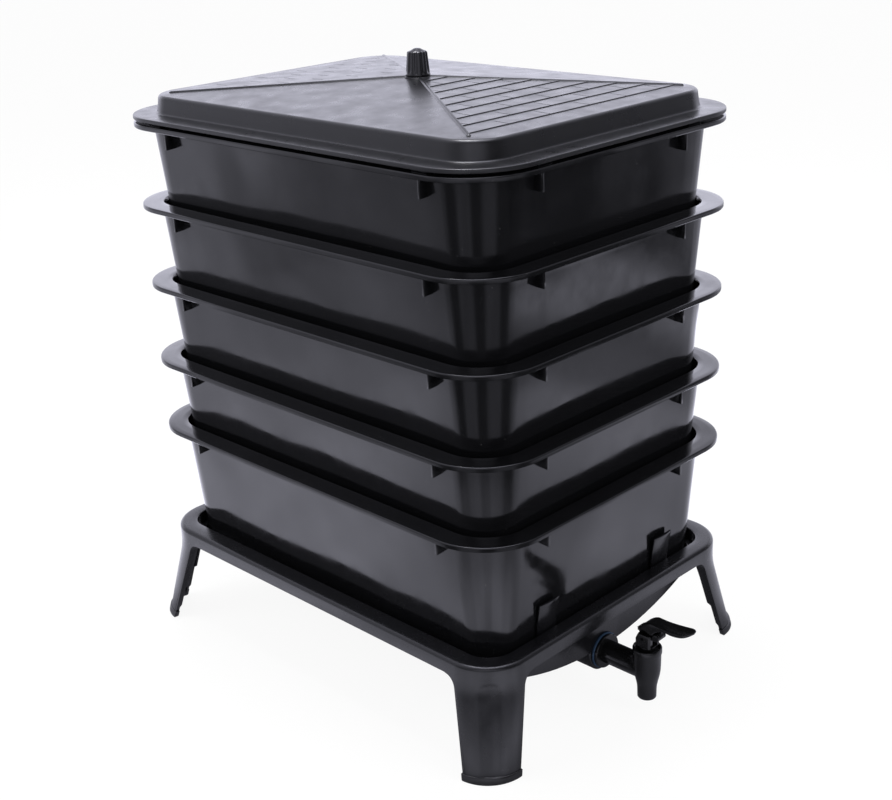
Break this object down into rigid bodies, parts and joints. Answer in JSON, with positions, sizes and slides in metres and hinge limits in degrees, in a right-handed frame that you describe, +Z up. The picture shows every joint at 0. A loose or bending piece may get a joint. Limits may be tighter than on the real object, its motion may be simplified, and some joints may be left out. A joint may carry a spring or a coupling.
{
  "type": "worm composter",
  "caption": "Garden worm composter: nested flanged trays under a hipped lid, on a legged stand with a sump dish and a lever tap.",
  "frame": {"origin": "on the floor, under the middle of the whole part with its tap and feet", "axes": "+Z up, +X along the trays towards the tap, Y across the trays"},
  "size_m": [0.6739, 0.4616, 0.7006],
  "materials": {
    "tray_plastic": "moulded black polypropylene with a soft gloss",
    "lid_plastic": "moulded dark grey polypropylene, satin",
    "stand_plastic": "moulded black polypropylene, satin",
    "foot_plastic": "soft black plastic",
    "knob_plastic": "black plastic, glossy",
    "tap_plastic": "black plastic, semi-gloss",
    "washer_blue": "blue rubber",
    "washer_black": "black rubber",
    "cup_silicone": "pale silicone",
    "steel": "zinc-plated steel"
  },
  "bodies": {
    "base": {"stand": "stand_plastic", "sump_dish": "stand_plastic", "foot_cap_1": "foot_plastic", "foot_cap_2": "foot_plastic", "foot_cap_3": "foot_plastic", "foot_cap_4": "foot_plastic", "tap_body": "tap_plastic", "tap_bonnet": "tap_plastic", "tap_lever_pin": "steel", "tap_washer_outer": "washer_blue", "tap_washer_inner": "washer_black", "tap_nut": "tap_plastic"},
    "tray_5": {"tray_5": "tray_plastic"},
    "tray_4": {"tray_4": "tray_plastic"},
    "tray_3": {"tray_3": "tray_plastic"},
    "tray_2": {"tray_2": "tray_plastic"},
    "tray_1": {"tray_1": "tray_plastic"},
    "lid": {"lid": "lid_plastic", "lid_knob": "knob_plastic", "lid_knob_screw": "steel"},
    "tap_lever": {"tap_lever": "tap_plastic"},
    "tap_stem": {"tap_stem": "tap_plastic", "tap_seat_cup": "cup_silicone"}
  },
  "joints": [
    {"name": "tray_5_lift", "type": "slide", "parent": "base", "child": "tray_5", "axis": [0, 0, 1], "range_m": [0, 0.16]},
    {"name": "tray_4_lift", "type": "slide", "parent": "tray_5", "child": "tray_4", "axis": [0, 0, 1], "range_m": [0, 0.16]},
    {"name": "tray_3_lift", "type": "slide", "parent": "tray_4", "child": "tray_3", "axis": [0, 0, 1], "range_m": [0, 0.16]},
    {"name": "tray_2_lift", "type": "slide", "parent": "tray_3", "child": "tray_2", "axis": [0, 0, 1], "range_m": [0, 0.16]},
    {"name": "tray_1_lift", "type": "slide", "parent": "tray_2", "child": "tray_1", "axis": [0, 0, 1], "range_m": [0, 0.16]},
    {"name": "lid_lift", "type": "slide", "parent": "tray_1", "child": "lid", "axis": [0, 0, 1], "range_m": [0, 0.16]},
    {"name": "tap_lever_turn", "type": "hinge", "parent": "base", "child": "tap_lever", "pos_m": [0.27591, 0, 0.092], "axis": [0, -1, 0], "range_deg": [0, 60]},
    {"name": "tap_stem_lift", "type": "slide", "parent": "base", "child": "tap_stem", "axis": [0, 0, 1], "range_m": [0, 0.0041]}
  ],
  "couplings": [
    {"joint": "tap_stem_lift", "follows": "tap_lever_turn", "m_per_rad": 0.0038197}
  ]
}
